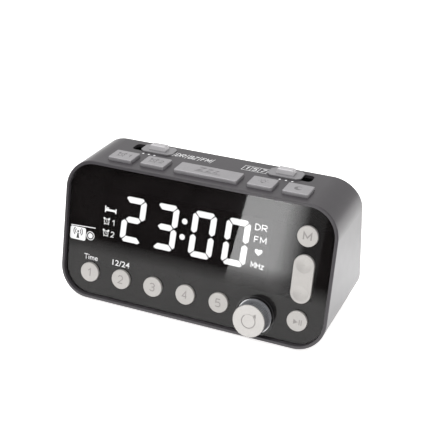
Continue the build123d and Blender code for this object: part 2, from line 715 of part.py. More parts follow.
# ---- screws ----
def screw(plane, x, y, seat, tip, head_radius=SCREW_HEAD_RADIUS):
    """A pan-head screw driven into a surface from its outside: seat is where the head rests."""
    way = 1 if seat > tip else -1
    head = disc(plane, x, y, head_radius, tuple(sorted((seat, seat + way * SCREW_HEAD_HEIGHT))))
    reach, half, floor = SCREW_CROSS
    cross = tuple(sorted((seat + way * floor, seat + way * 2)))
    head -= block(plane, (x - reach, x + reach), (y - half, y + half), cross)
    head -= block(plane, (x - half, x + half), (y - reach, y + reach), cross)
    return head + disc(plane, x, y, SCREW_RADIUS, tuple(sorted((tip, seat + way * 0.5))))


def rear_screws():
    """Screws that hold the rear cover, sunk in its counterbores."""
    return group(
        screw(REAR, u, v, COVER_SEAT, COVER_INNER - 7) for u, v in SCREW_PLACES
    )


def frame_screws():
    """Screws through the case lugs into the front frame."""
    return group(screw(FACE, x, s, FRAME_BACK - 4, LENS_BACK - 0.6) for x, s in FRAME_SCREWS)


def board_screws():
    """Screws of the three circuit boards."""
    front = [screw(FACE, x, s, BOARD_BACK, FRAME_BACK - 1) for x, s in BOARD_POSTS]
    top = [screw(TOP, x, y, TOP_BOARD_BACK, -WALL - 1.5) for x, y in TOP_POSTS]
    main = [screw(Plane.XY, x, y, MAIN_TOP, FOOT_HEIGHT + WALL + 1) for x, y in MAIN_POSTS]
    return group(front + top + main)


# ---- rear cover ----
def along_y(x, z, radius, y):
    """A cylinder along Y, from y[0] to y[1]."""
    rod = Cylinder(radius, y[1] - y[0], rotation=(90, 0, 0))
    return Pos(x, (y[0] + y[1]) / 2, z) * rod


def grille_holes():
    """Rings of small round holes in front of the speaker."""
    places = [(SPEAKER_U, SPEAKER_V)]
    for ring in range(1, GRILLE_RINGS + 1):
        for i in range(6 * ring):
            turn = 2 * pi * i / (6 * ring)
            reach = ring * GRILLE_PITCH
            places.append((SPEAKER_U + reach * cos(turn), SPEAKER_V + reach * sin(turn)))
    drill = extrude(Circle(GRILLE_HOLE), COVER_THICKNESS + 2)
    return [REAR * (Pos(u, v, COVER_INNER - 1) * drill) for u, v in places]


def speaker_posts():
    """Centres of the four posts round the speaker."""
    reach = (SPEAKER_RADIUS + POST_RADIUS + 0.1) * sin(pi / 4)
    return [(SPEAKER_U + a * reach, SPEAKER_V + b * reach) for a in (-1, 1) for b in (-1, 1)]


def bay_span(margin):
    """The battery opening in rear coordinates, widened by a margin on every side."""
    half_u, half_v = BAY_SIZE[0] / 2 + margin, BAY_SIZE[1] / 2 + margin
    return (BAY_U - half_u, BAY_U + half_u), (BAY_V - half_v, BAY_V + half_v)


def rear_cover():
    """Black rear cover with a speaker grille, battery opening and socket openings."""
    cover = section(WALL + FIT_GAP) & slab(REAR, COVER_INNER, -COVER_RECESS)
    span_u, span_v = bay_span(0)
    cover -= block(REAR, span_u, span_v, (-20, 5))
    cover -= hinge_rod(HINGE_PIN + PIN_GAP, BAY_SIZE[0] / 2 + 2.0)
    cover -= grille_holes()
    for u, v in speaker_posts():
        cover += disc(REAR, u, v, POST_RADIUS, (SPEAKER_SEAT, COVER_INNER))
        cover -= disc(REAR, u, v, SCREW_RADIUS, (SPEAKER_SEAT - 1, COVER_INNER + 1.4))
    for u, v in SCREW_PLACES:
        cover -= disc(REAR, u, v, SCREW_RADIUS + 0.2, (COVER_INNER - 1, 5))
        cover -= disc(REAR, u, v, SCREW_HEAD_RADIUS + 0.3, (COVER_SEAT, 5))
    cover -= disc(REAR, AERIAL_U, AERIAL_V, GROMMET_NECK, (COVER_INNER - 1, 5))
    far = SOCKET_MOUTH + 20
    for (x, rise), nose in ((DC_JACK, DC_NOSE), (PHONE_JACK, PHONE_NOSE)):
        cover -= along_y(x, MAIN_TOP + rise, nose + SOCKET_GAP, (SOCKET_SHOULDER, far))
    half = USB_SIZE[0] / 2 + 0.2
    return cover - block(
        Plane.XY,
        (USB_X - half, USB_X + half),
        (SOCKET_SHOULDER, far),
        (MAIN_TOP, MAIN_TOP + USB_SIZE[1] + 0.4),
    )


# ---- battery bay ----
def hinge_rod(radius, reach):
    """A rod along the battery door's hinge line."""
    v = BAY_V - BAY_SIZE[1] / 2 + DOOR_GAP + HINGE_RADIUS
    rod = Cylinder(radius, 2 * reach, rotation=(0, 90, 0))
    return REAR * (Pos(BAY_U, v, -COVER_RECESS - HINGE_RADIUS) * rod)


def battery_door():
    """Door of the battery bay: a plate with a rounded hinge edge, two pins and a finger ridge."""
    span_u, span_v = bay_span(-DOOR_GAP)
    lower = span_v[0] + HINGE_RADIUS
    door = block(REAR, span_u, (lower, span_v[1]), (-COVER_RECESS - DOOR_THICKNESS, -COVER_RECESS))
    door += hinge_rod(HINGE_RADIUS, BAY_SIZE[0] / 2 - DOOR_GAP)
    door += hinge_rod(HINGE_PIN, BAY_SIZE[0] / 2 + 1.6)
    for i in range(4):
        v = span_v[1] - 3.0 - 1.6 * i
        door -= block(REAR, (BAY_U - 7, BAY_U + 7), (v - 0.4, v + 0.4), (-COVER_RECESS - 0.5, 5))
    return door


def battery_tray():
    """Open tray that holds the two backup cells behind the door."""
    floor = COVER_INNER - BAY_DEPTH
    outer_u, outer_v = bay_span(TRAY_WALL)
    inner_u, inner_v = bay_span(-TRAY_MARGIN)
    tray = block(REAR, outer_u, outer_v, (floor - TRAY_FLOOR, COVER_INNER))
    return tray - block(REAR, inner_u, inner_v, (floor, 5))


def cell_axis(side):
    """Height across the bay of one cell's axis."""
    return BAY_V + side * (CELL_RADIUS + 0.6)


def backup_cells():
    """Two small cells lying side by side."""
    cells = []
    depth = COVER_INNER - BAY_DEPTH + CELL_RADIUS + 0.3
    for side in (-1, 1):
        body = Cylinder(CELL_RADIUS, CELL_LENGTH - 1, rotation=(0, 90, 0))
        tip = Cylinder(*CELL_TIP, rotation=(0, 90, 0))
        tip_u = side * (CELL_LENGTH / 2)
        cell = Pos(BAY_U, cell_axis(side), depth) * body + Pos(BAY_U + tip_u, cell_axis(side), depth) * tip
        cells.append(REAR * cell)
    return group(cells)


def battery_contacts():
    """Sprung plates at the ends of the cells."""
    plates = []
    depth = COVER_INNER - BAY_DEPTH + CELL_RADIUS + 0.3
    wall_u = BAY_SIZE[0] / 2 - TRAY_MARGIN
    for end in (-1, 1):
        for side in (-1, 1):
            near, far = sorted((BAY_U + end * (wall_u - 0.5), BAY_U + end * wall_u))
            v = cell_axis(side)
            across = (v - CONTACT_HALF, v + CONTACT_HALF)
            plate = block(REAR, (near, far), across, (depth - CONTACT_HALF, depth + CONTACT_HALF))
            reach = CELL_LENGTH / 2 + (0.6 if end == side else -0.5)
            spring_near, spring_far = sorted((BAY_U + end * reach, BAY_U + end * (wall_u - 0.3)))
            rod = Cylinder(SPRING_RADIUS, spring_far - spring_near, rotation=(0, 90, 0))
            plates.append(plate + REAR * (Pos((spring_near + spring_far) / 2, v, depth) * rod))
    return group(plates)


# ---- speaker ----
def speaker_disc(radius, low, high):
    """A cylinder on the speaker's axis."""
    return disc(REAR, SPEAKER_U, SPEAKER_V, radius, (low, high))


def speaker_cone_solid(wide, narrow, back, front):
    """A solid cone on the speaker's axis, wide towards the rear cover."""
    cone = Cone(narrow, wide, front - back)
    return REAR * (Pos(SPEAKER_U, SPEAKER_V, (back + front) / 2) * cone)


def speaker_gasket():
    """Foam ring between the speaker and the cover."""
    ring = speaker_disc(SPEAKER_RADIUS, SPEAKER_SEAT + RIM_THICKNESS, COVER_INNER)
    return ring - speaker_disc(GASKET_BORE, SPEAKER_SEAT, COVER_INNER + 1)


def speaker_basket():
    """Pressed steel frame of the speaker, with four windows."""
    rim = speaker_disc(SPEAKER_RADIUS, SPEAKER_SEAT, SPEAKER_SEAT + RIM_THICKNESS)
    rim -= speaker_disc(CONE_RADIUS, SPEAKER_SEAT - 1, SPEAKER_SEAT + 2)
    shell = speaker_cone_solid(CONE_RADIUS + 1, MAGNET_RADIUS, BASKET_BACK, SPEAKER_SEAT)
    shell -= speaker_cone_solid(CONE_RADIUS, MAGNET_RADIUS - 1, BASKET_BACK + 1, SPEAKER_SEAT + 0.01)
    half_reach = SPEAKER_RADIUS / 2 + 1
    for a, b in ((1, 0), (-1, 0), (0, 1), (0, -1)):
        u, v = SPEAKER_U + a * half_reach, SPEAKER_V + b * half_reach
        half_u, half_v = (half_reach, BASKET_WINDOW) if a else (BASKET_WINDOW, half_reach)
        level = (BASKET_BACK + 1.2, SPEAKER_SEAT - 1.5)
        shell -= block(REAR, (u - half_u, u + half_u), (v - half_v, v + half_v), level)
    return rim + shell


def speaker_cone():
    """Paper cone with a rolled surround and a dust cap."""
    cone = speaker_cone_solid(CONE_RADIUS - 1.5, 6.0, SPEAKER_SEAT - 6, SPEAKER_SEAT + 0.2)
    cone -= speaker_cone_solid(CONE_RADIUS - 1.6, 5.6, SPEAKER_SEAT - 5.7, SPEAKER_SEAT + 0.7)
    surround = REAR * (Pos(SPEAKER_U, SPEAKER_V, SPEAKER_SEAT + 0.4) * Torus(CONE_RADIUS - 1.0, 0.8))
    cap = speaker_disc(6.4, SPEAKER_SEAT - 5.8, SPEAKER_SEAT - 4.9)
    return cone + surround + cap


def speaker_magnet():
    """Ring magnet and back plate of the speaker."""
    return speaker_disc(MAGNET_RADIUS, BASKET_BACK - MAGNET_HEIGHT, BASKET_BACK)


def speaker_screws():
    """Screws whose heads clamp the speaker's rim."""
    return group(screw(REAR, u, v, SPEAKER_SEAT, COVER_INNER + 1, 3.0) for u, v in speaker_posts())


# ---- main board and sockets ----
def main_board():
    """Horizontal circuit board that carries the receiver and the sockets."""
    left, right, front, back = MAIN_BOARD_BOX
    board = block(Plane.XY, (left, right), (front, back), (MAIN_BOARD_Z, MAIN_TOP))
    for x, y in MAIN_POSTS:
        board -= disc(Plane.XY, x, y, SCREW_RADIUS + 0.2, (MAIN_BOARD_Z - 1, MAIN_TOP + 1))
    return board


def tuner_shield():
    """Folded steel can over the receiver, open towards the board."""
    left, right, front, back = SHIELD_BOX
    can = block(Plane.XY, (left, right), (front, back), (MAIN_TOP, MAIN_TOP + SHIELD_HEIGHT))
    return can - block(
        Plane.XY,
        (left + SHIELD_WALL, right - SHIELD_WALL),
        (front + SHIELD_WALL, back - SHIELD_WALL),
        (MAIN_TOP - 1, MAIN_TOP + SHIELD_HEIGHT - SHIELD_WALL),
    )


def board_parts():
    """Amplifier, capacitors and the sockets of the ribbons."""
    parts = [block(Plane.XY, (6, 16), (14, 24), (MAIN_TOP, MAIN_TOP + 1.8))]
    for x, y in CAPACITORS:
        parts.append(disc(Plane.XY, x, y, CAPACITOR[0], (MAIN_TOP, MAIN_TOP + CAPACITOR[1])))
    socket_top = MAIN_TOP + RIBBON_SOCKET
    parts.append(block(Plane.XY, (-8, 8), (2, 7), (MAIN_TOP, socket_top)))
    parts.append(block(Plane.XY, (12, 26), (-8, -3), (MAIN_TOP, socket_top)))
    parts.append(block(TOP, (-8, 8), (18.5, 21), (TOP_BOARD_BACK - RIBBON_SOCKET, TOP_BOARD_BACK)))
    parts.append(block(FACE, (12, 26), (22, 27), (BOARD_BACK - RIBBON_SOCKET, BOARD_BACK)))
    return group(parts)


def dc_jack():
    """Power socket with a centre pin, soldered to the main board."""
    x, rise = DC_JACK
    z = MAIN_TOP + rise
    half, height = DC_BODY
    depth = (SOCKET_FRONT, SOCKET_SHOULDER)
    jack = block(Plane.XY, (x - half, x + half), depth, (MAIN_TOP, MAIN_TOP + height))
    jack += along_y(x, z, DC_NOSE, (SOCKET_SHOULDER - 1, SOCKET_MOUTH))
    jack -= along_y(x, z, DC_BORE, (SOCKET_MOUTH - 10, SOCKET_MOUTH + 1))
    return jack + along_y(x, z, DC_PIN, (SOCKET_MOUTH - 11, SOCKET_MOUTH - 1))


def phone_jack():
    """Round headphone socket."""
    x, rise = PHONE_JACK
    z = MAIN_TOP + rise
    half, height = PHONE_BODY
    depth = (SOCKET_FRONT + 2, SOCKET_SHOULDER)
    jack = block(Plane.XY, (x - half, x + half), depth, (MAIN_TOP, MAIN_TOP + height))
    jack += along_y(x, z, PHONE_NOSE, (SOCKET_SHOULDER - 1, SOCKET_MOUTH))
    return jack - along_y(x, z, PHONE_BORE, (SOCKET_MOUTH - PHONE_DEPTH, SOCKET_MOUTH + 1))


def usb_block(inset, y):
    """The charging port's rectangle, moved in by inset."""
    half = USB_SIZE[0] / 2 - inset
    low = MAIN_TOP + 0.1
    return block(Plane.XY, (USB_X - half, USB_X + half), y, (low + inset, low + USB_SIZE[1] - inset))


def usb_shell():
    """Folded metal shell of the charging port."""
    shell = usb_block(0, (SOCKET_FRONT + 4, SOCKET_MOUTH))
    shell -= usb_block(USB_WALL, (SOCKET_FRONT + 4 + USB_WALL, SOCKET_MOUTH + 1))
    depth = (SOCKET_FRONT + 5, SOCKET_FRONT + 9)
    return shell + block(Plane.XY, (USB_X - 6, USB_X + 6), depth, (MAIN_TOP, MAIN_TOP + USB_LEG))


def usb_tongue():
    """Pale insulator inside the charging port."""
    low = MAIN_TOP + 0.1
    block_in = usb_block(USB_WALL, (SOCKET_FRONT + 4 + USB_WALL, SOCKET_FRONT + 7.5))
    half = USB_SIZE[0] / 2 - 1.2
    tongue = block(
        Plane.XY,
        (USB_X - half, USB_X + half),
        (SOCKET_FRONT + 7, SOCKET_MOUTH - 0.8),
        (low + 3.1, low + 4.9),
    )
    return block_in + tongue


def aerial_grommet():
    """Rubber grommet in the rear cover where the wire aerial leaves."""
    ring = disc(REAR, AERIAL_U, AERIAL_V, GROMMET_NECK + 1.2, (-COVER_RECESS, 0))
    ring += disc(REAR, AERIAL_U, AERIAL_V, GROMMET_NECK, (COVER_INNER, -COVER_RECESS))
    ring += disc(REAR, AERIAL_U, AERIAL_V, GROMMET_NECK + 1.2, (COVER_INNER - 0.8, COVER_INNER))
    return ring - disc(REAR, AERIAL_U, AERIAL_V, AERIAL_HOLE, (-20, 5))


def rubber_feet():
    """Four round feet set in pockets under the case."""
    feet = []
    for x, y in FEET:
        foot = Cylinder(FOOT_RADIUS, FOOT_HEIGHT + FOOT_POCKET)
        foot = fillet(foot.edges().sort_by(Axis.Z)[0], 0.5)
        feet.append(Pos(x, y, (FOOT_HEIGHT + FOOT_POCKET) / 2) * foot)
    return group(feet)


# ---- wiring inside ----
def wire(points, radius, bend):
    """A round wire along straight runs joined by arcs."""
    path = FilletPolyline(*points, radius=bend)
    return sweep(Plane(origin=path @ 0, z_dir=path % 0) * Circle(radius), path=path)


def ribbon(points, width, thickness, bend):
    """A flat cable along straight runs joined by arcs, with its width along X."""
    path = FilletPolyline(*points, radius=bend)
    start = Plane(origin=path @ 0, x_dir=(1, 0, 0), z_dir=path % 0)
    return sweep(start * Rectangle(width, thickness), path=path)


def front_ribbon():
    """Flat cable from the front board's socket to the main board's."""
    back = BOARD_BACK - RIBBON_SOCKET
    start = FACE.from_local_coords((FRONT_RIBBON_X, FRONT_RIBBON_S, back))
    bend = FACE.from_local_coords((FRONT_RIBBON_X, FRONT_RIBBON_S, back - 5.2))
    end = Vector(FRONT_RIBBON_X, bend.Y, MAIN_TOP + RIBBON_SOCKET)
    return ribbon([start, bend, end], 12, 0.8, 2.5)


def top_ribbon():
    """Flat cable from the top board's socket down to the main board's."""
    start = TOP.from_local_coords((0, TOP_RIBBON_Y, TOP_BOARD_BACK - RIBBON_SOCKET))
    knee = Vector(0, start.Y, 50)
    turn = Vector(0, 4.5, 30)
    return ribbon([start, knee, turn, Vector(0, turn.Y, MAIN_TOP + RIBBON_SOCKET)], 7, 0.8, 8)


def internal_leads():
    """Pairs of wires from the speaker and the battery tray to the main board."""
    runs = []
    for shift in (-1.2, 1.2):
        magnet = REAR.from_local_coords((SPEAKER_U + shift, SPEAKER_V - 6, BASKET_BACK - MAGNET_HEIGHT))
        out = REAR.from_local_coords((SPEAKER_U + shift, SPEAKER_V - 6, BASKET_BACK - 13))
        runs.append(wire([magnet, out, Vector(out.X, out.Y, MAIN_TOP)], 0.6, 4))
        tray = REAR.from_local_coords((BAY_U + 14 + shift, BAY_V - 6, COVER_INNER - BAY_DEPTH - TRAY_FLOOR))
        away = REAR.from_local_coords((BAY_U + 14 + shift, BAY_V - 6, COVER_INNER - BAY_DEPTH - 5.5))
        runs.append(wire([tray, away, Vector(away.X, away.Y, MAIN_TOP)], 0.6, 3))
    return group(runs)


def main():
    """Build every piece and write it."""
    os.makedirs("parts", exist_ok=True)
    lit = bars(True)
    dark = bars(False)
    windows = icon_windows()
    pieces = {
        "outer_case": outer_case(),
        "front_frame": front_frame(),
        "front_lens": front_lens(),
        "display_housing": display_housing([lit, dark, windows]),
        "bars_lit": lit,
        "bars_dark": dark,
        "icon_windows": windows,
        "front_board": front_board(),
        "front_switches": tact_switches(FACE, TACT_PLACES, BOARD_FRONT),
        "mode_button": round_button(COLUMN_X, MODE_S),
        "play_button": round_button(COLUMN_X, PLAY_S),
        "volume_rocker": volume_rocker(),
        "knob_collar": knob_collar(),
        "encoder_body": encoder_body(),
        "encoder_rotor": encoder_rotor(),
        "encoder_shaft": encoder_shaft(),
        "knob_barrel": knob_barrel(),
        "knob_ring": knob_ring(),
        "knob_cap": knob_cap(),
        "slide_switches": slide_switches(),
        "top_board": top_board(),
        "top_switches": tact_switches(TOP, [(x, KEY_Y) for x in KEY_MIDDLES], -TOP_BOARD_DEPTH),
        "band_selector": selector(SELECTOR_X[0]),
        "timer_selector": selector(SELECTOR_X[1]),
        "rear_cover": rear_cover(),
        "rear_screws": rear_screws(),
        "frame_screws": frame_screws(),
        "board_screws": board_screws(),
        "speaker_gasket": speaker_gasket(),
        "speaker_basket": speaker_basket(),
        "speaker_cone": speaker_cone(),
        "speaker_magnet": speaker_magnet(),
        "speaker_screws": speaker_screws(),
        "battery_tray": battery_tray(),
        "backup_cells": backup_cells(),
        "battery_contacts": battery_contacts(),
        "battery_door": battery_door(),
        "main_board": main_board(),
        "tuner_shield": tuner_shield(),
        "board_parts": board_parts(),
        "dc_jack": dc_jack(),
        "phone_jack": phone_jack(),
        "usb_shell": usb_shell(),
        "usb_tongue": usb_tongue(),
        "aerial_grommet": aerial_grommet(),
        "rubber_feet": rubber_feet(),
        "front_ribbon": front_ribbon(),
        "top_ribbon": top_ribbon(),
        "internal_leads": internal_leads(),
    }
    for i, x in enumerate(PRESETS, 1):
        pieces[f"preset_{i}"] = round_button(x, PRESET_S)
    for name, span in zip(KEY_NAMES, KEY_SPANS):
        pieces[name] = top_key(span)
    for name, shape in pieces.items():
        save(name, shape)


main()
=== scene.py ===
import json
from math import cos, pi, radians, sin

import bpy
from mathutils import Matrix, Vector


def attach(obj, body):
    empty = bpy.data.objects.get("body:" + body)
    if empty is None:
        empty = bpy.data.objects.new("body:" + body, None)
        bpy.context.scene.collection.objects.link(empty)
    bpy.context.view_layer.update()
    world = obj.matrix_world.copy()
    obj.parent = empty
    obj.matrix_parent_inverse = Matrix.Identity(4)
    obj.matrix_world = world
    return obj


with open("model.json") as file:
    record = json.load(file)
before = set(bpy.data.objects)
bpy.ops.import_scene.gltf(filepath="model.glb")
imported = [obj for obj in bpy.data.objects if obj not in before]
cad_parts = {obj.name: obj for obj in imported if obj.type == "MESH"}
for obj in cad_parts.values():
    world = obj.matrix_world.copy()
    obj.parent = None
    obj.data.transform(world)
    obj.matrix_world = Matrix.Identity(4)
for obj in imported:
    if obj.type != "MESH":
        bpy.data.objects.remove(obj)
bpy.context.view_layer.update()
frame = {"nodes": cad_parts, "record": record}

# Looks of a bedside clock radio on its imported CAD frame.  Blender works in metres, and the sizes
# named here are in millimetres.  +Z is up and the display faces -Y.
MM = 0.001

# ---- the object's own planes ----
FACE_TILT = radians(10.6)
FOOT_HEIGHT = 1.2
FRONT_Y = -31.2
TOP_ORIGIN = (0, -16.35, 80.52)

# ---- camera, at the photograph's viewing angle ----
CAMERA_AZIMUTH = radians(22.22)
CAMERA_ELEVATION = radians(25.64)
CAMERA_ROLL = radians(1.78)
CAMERA_DISTANCE = 523.55
CAMERA_TARGET = (18.95, -31.2, 68.51)
CAMERA_LENS = 82.61
CAMERA_SENSOR = 36.0


def plane(origin, across, up):
    """Matrix whose local x and y run along the surface, z out of it, from an origin in mm."""
    x = Vector(across).normalized()
    y = Vector(up).normalized()
    z = x.cross(y)
    matrix = Matrix((x, y, z)).transposed().to_4x4()
    matrix.translation = Vector(origin) * MM
    return matrix


FACE = plane((0, FRONT_Y, FOOT_HEIGHT), (1, 0, 0), (0, sin(FACE_TILT), cos(FACE_TILT)))
TOP = plane(TOP_ORIGIN, (1, 0, 0), (0, 1, 0))


def span(node, surface):
    """Lowest and highest corner of a CAD node in a plane's own coordinates, in mm."""
    inverse = surface.inverted()
    points = [inverse @ vertex.co for vertex in frame["nodes"][node].data.vertices]
    low = [min(point[i] for point in points) / MM for i in range(3)]
    high = [max(point[i] for point in points) / MM for i in range(3)]
    return low, high


def centre(node, surface):
    """Middle of a CAD node across a plane, and its highest level above the plane, in mm."""
    low, high = span(node, surface)
    return (low[0] + high[0]) / 2, (low[1] + high[1]) / 2, high[2]


# ---------------------------------------------------------------- materials

PLASTIC_IOR = 1.5
MOTTLE_SIZE = 9.0


def new_material(name, colour, roughness, metallic=0.0):
    """A node material with its Principled shader and the object coordinates it is drawn in."""
    material = bpy.data.materials.new(name)
    material.use_nodes = True
    tree = material.node_tree
    shader = tree.nodes["Principled BSDF"]
    shader.inputs["Base Color"].default_value = (*colour, 1)
    shader.inputs["Roughness"].default_value = roughness
    shader.inputs["Metallic"].default_value = metallic
    shader.inputs["IOR"].default_value = PLASTIC_IOR
    coordinates = tree.nodes.new("ShaderNodeTexCoord").outputs["Object"]
    return material, tree, shader, coordinates


def noise(tree, vector, size, detail=3.0, stretch=(1, 1, 1)):
    """Noise with features of about the given size in mm, longer where stretch is above 1."""
    mapping = tree.nodes.new("ShaderNodeMapping")
    mapping.inputs["Scale"].default_value = [1 / s for s in stretch]
    tree.links.new(vector, mapping.inputs["Vector"])
    node = tree.nodes.new("ShaderNodeTexNoise")
    node.inputs["Scale"].default_value = 1 / (size * MM)
    node.inputs["Detail"].default_value = detail
    tree.links.new(mapping.outputs["Vector"], node.inputs["Vector"])
    return node.outputs["Fac"]


def ramp(tree, factor, stops):
    """A colour ramp over (position, colour) stops."""
    node = tree.nodes.new("ShaderNodeValToRGB")
    elements = node.color_ramp.elements
    while len(elements) < len(stops):
        elements.new(0.5)
    for element, (position, colour) in zip(elements, stops):
        element.position = position
        element.color = (*colour, 1)
    tree.links.new(factor, node.inputs["Fac"])
    return node.outputs["Color"]


def shade(colour, amount):
    """The colour made lighter or darker by a share."""
    return [min(1.0, channel * (1 + amount)) for channel in colour]


def vary_colour(tree, shader, factor, colour, amount):
    """Colour that wanders about its mean with a texture."""
    stops = ((0.3, shade(colour, -amount)), (0.7, shade(colour, amount)))
    tree.links.new(ramp(tree, factor, stops), shader.inputs["Base Color"])


def vary_roughness(tree, shader, factor, low, high):
    """Roughness between two values with a texture."""
    node = tree.nodes.new("ShaderNodeMapRange")
    node.inputs["From Min"].default_value = 0.3
    node.inputs["From Max"].default_value = 0.7
    node.inputs["To Min"].default_value = low
    node.inputs["To Max"].default_value = high
    tree.links.new(factor, node.inputs["Value"])
    tree.links.new(node.outputs["Result"], shader.inputs["Roughness"])


def raise_surface(tree, shader, factor, height):
    """Relief of the given height in mm from a texture."""
    node = tree.nodes.new("ShaderNodeBump")
    node.inputs["Strength"].default_value = 1.0
    node.inputs["Distance"].default_value = height * MM
    tree.links.new(factor, node.inputs["Height"])
    tree.links.new(node.outputs["Normal"], shader.inputs["Normal"])


def moulded(name, colour, roughness, grain, relief, wander=0.06, metallic=0.0, spread=0.06):
    """Moulded or painted plastic, rubber or foam: fine grain, faint mottling, uneven gloss."""
    material, tree, shader, where = new_material(name, colour, roughness, metallic)
    fine = noise(tree, where, grain)
    broad = noise(tree, where, MOTTLE_SIZE)
    blend = tree.nodes.new("ShaderNodeMath")
    blend.operation = "ADD"
    tree.links.new(fine, blend.inputs[0])
    tree.links.new(broad, blend.inputs[1])
    half = tree.nodes.new("ShaderNodeMath")
    half.operation = "MULTIPLY"
    half.inputs[1].default_value = 0.5
    tree.links.new(blend.outputs[0], half.inputs[0])
    vary_colour(tree, shader, half.outputs[0], colour, wander)
    vary_roughness(tree, shader, broad, roughness - spread, roughness + spread)
    raise_surface(tree, shader, fine, relief)
    return material


def two_levels(name, low_colour, high_colour, level):
    """Moulded plastic that is darker below a height in mm and lighter above it."""
    material = moulded(name, high_colour, 0.36, 0.45, 0.010, 0.10, metallic=0.3)
    tree = material.node_tree
    coordinates = tree.nodes.new("ShaderNodeTexCoord").outputs["Object"]
    parts = tree.nodes.new("ShaderNodeSeparateXYZ")
    tree.links.new(coordinates, parts.inputs["Vector"])
    height = tree.nodes.new("ShaderNodeMapRange")
    height.inputs["From Min"].default_value = (level - 0.15) * MM
    height.inputs["From Max"].default_value = (level + 0.15) * MM
    tree.links.new(parts.outputs["Z"], height.inputs["Value"])
    stops = ((0.0, low_colour), (1.0, high_colour))
    tree.links.new(ramp(tree, height.outputs["Result"], stops),
                   tree.nodes["Principled BSDF"].inputs["Base Color"])
    return material


def metal(name, colour, roughness, stretch=(1, 1, 1), grain=0.4, relief=0.004, wander=0.08):
    """Bare or plated metal with brushing along the stretched axis."""
    material, tree, shader, where = new_material(name, colour, roughness, metallic=1.0)
    lines = noise(tree, where, grain, stretch=stretch)
    vary_colour(tree, shader, lines, colour, wander)
    vary_roughness(tree, shader, lines, roughness * 0.8, roughness * 1.25)
    raise_surface(tree, shader, lines, relief)
    return material


def circuit_board(name, mask, copper):
    """Solder mask over a pattern of copper tracks."""
    material, tree, shader, where = new_material(name, mask, 0.3)
    cells = tree.nodes.new("ShaderNodeTexVoronoi")
    cells.feature = "DISTANCE_TO_EDGE"
    cells.inputs["Scale"].default_value = 260
    tree.links.new(where, cells.inputs["Vector"])
    tracks = ramp(tree, cells.outputs["Distance"], ((0.05, copper), (0.09, mask)))
    tree.links.new(tracks, shader.inputs["Base Color"])
    vary_roughness(tree, shader, noise(tree, where, 3.0), 0.25, 0.4)
    raise_surface(tree, shader, cells.outputs["Distance"], 0.02)
    return material


def open_cells(name, colour, cell, relief):
    """Foam or pressed pulp: round pits of the given size in mm."""
    material, tree, shader, where = new_material(name, colour, 0.95)
    cells = tree.nodes.new("ShaderNodeTexVoronoi")
    cells.inputs["Scale"].default_value = 1 / (cell * MM)
    tree.links.new(where, cells.inputs["Vector"])
    vary_colour(tree, shader, cells.outputs["Distance"], colour, 0.3)
    raise_surface(tree, shader, cells.outputs["Distance"], relief)
    return material


def smoked(name, tint, opacity):
    """Dark glossy sheet that lets bright things behind it show."""
    material, tree, shader, where = new_material(name, tint, 0.02)
    shader.inputs["Alpha"].default_value = opacity
    shader.inputs["Specular IOR Level"].default_value = LENS_GLOSS
    haze = noise(tree, where, 14.0)
    vary_colour(tree, shader, haze, tint, 0.25)
    vary_roughness(tree, shader, haze, 0.015, 0.03)
    return material


def glowing(name, colour, strength):
    """A lit diffuser with a little unevenness."""
    material, tree, shader, where = new_material(name, (0.8, 0.8, 0.8), 0.5)
    light = ramp(tree, noise(tree, where, 3.0), ((0.2, shade(colour, -0.05)), (0.6, colour)))
    tree.links.new(light, shader.inputs["Emission Color"])
    shader.inputs["Emission Strength"].default_value = strength
    return material


LENS_GLOSS = 0.5
LENS_OPACITY = 0.72
GLOW = 13.0
SILVER = (0.43, 0.415, 0.40)
CAP_SILVER = (0.50, 0.485, 0.47)

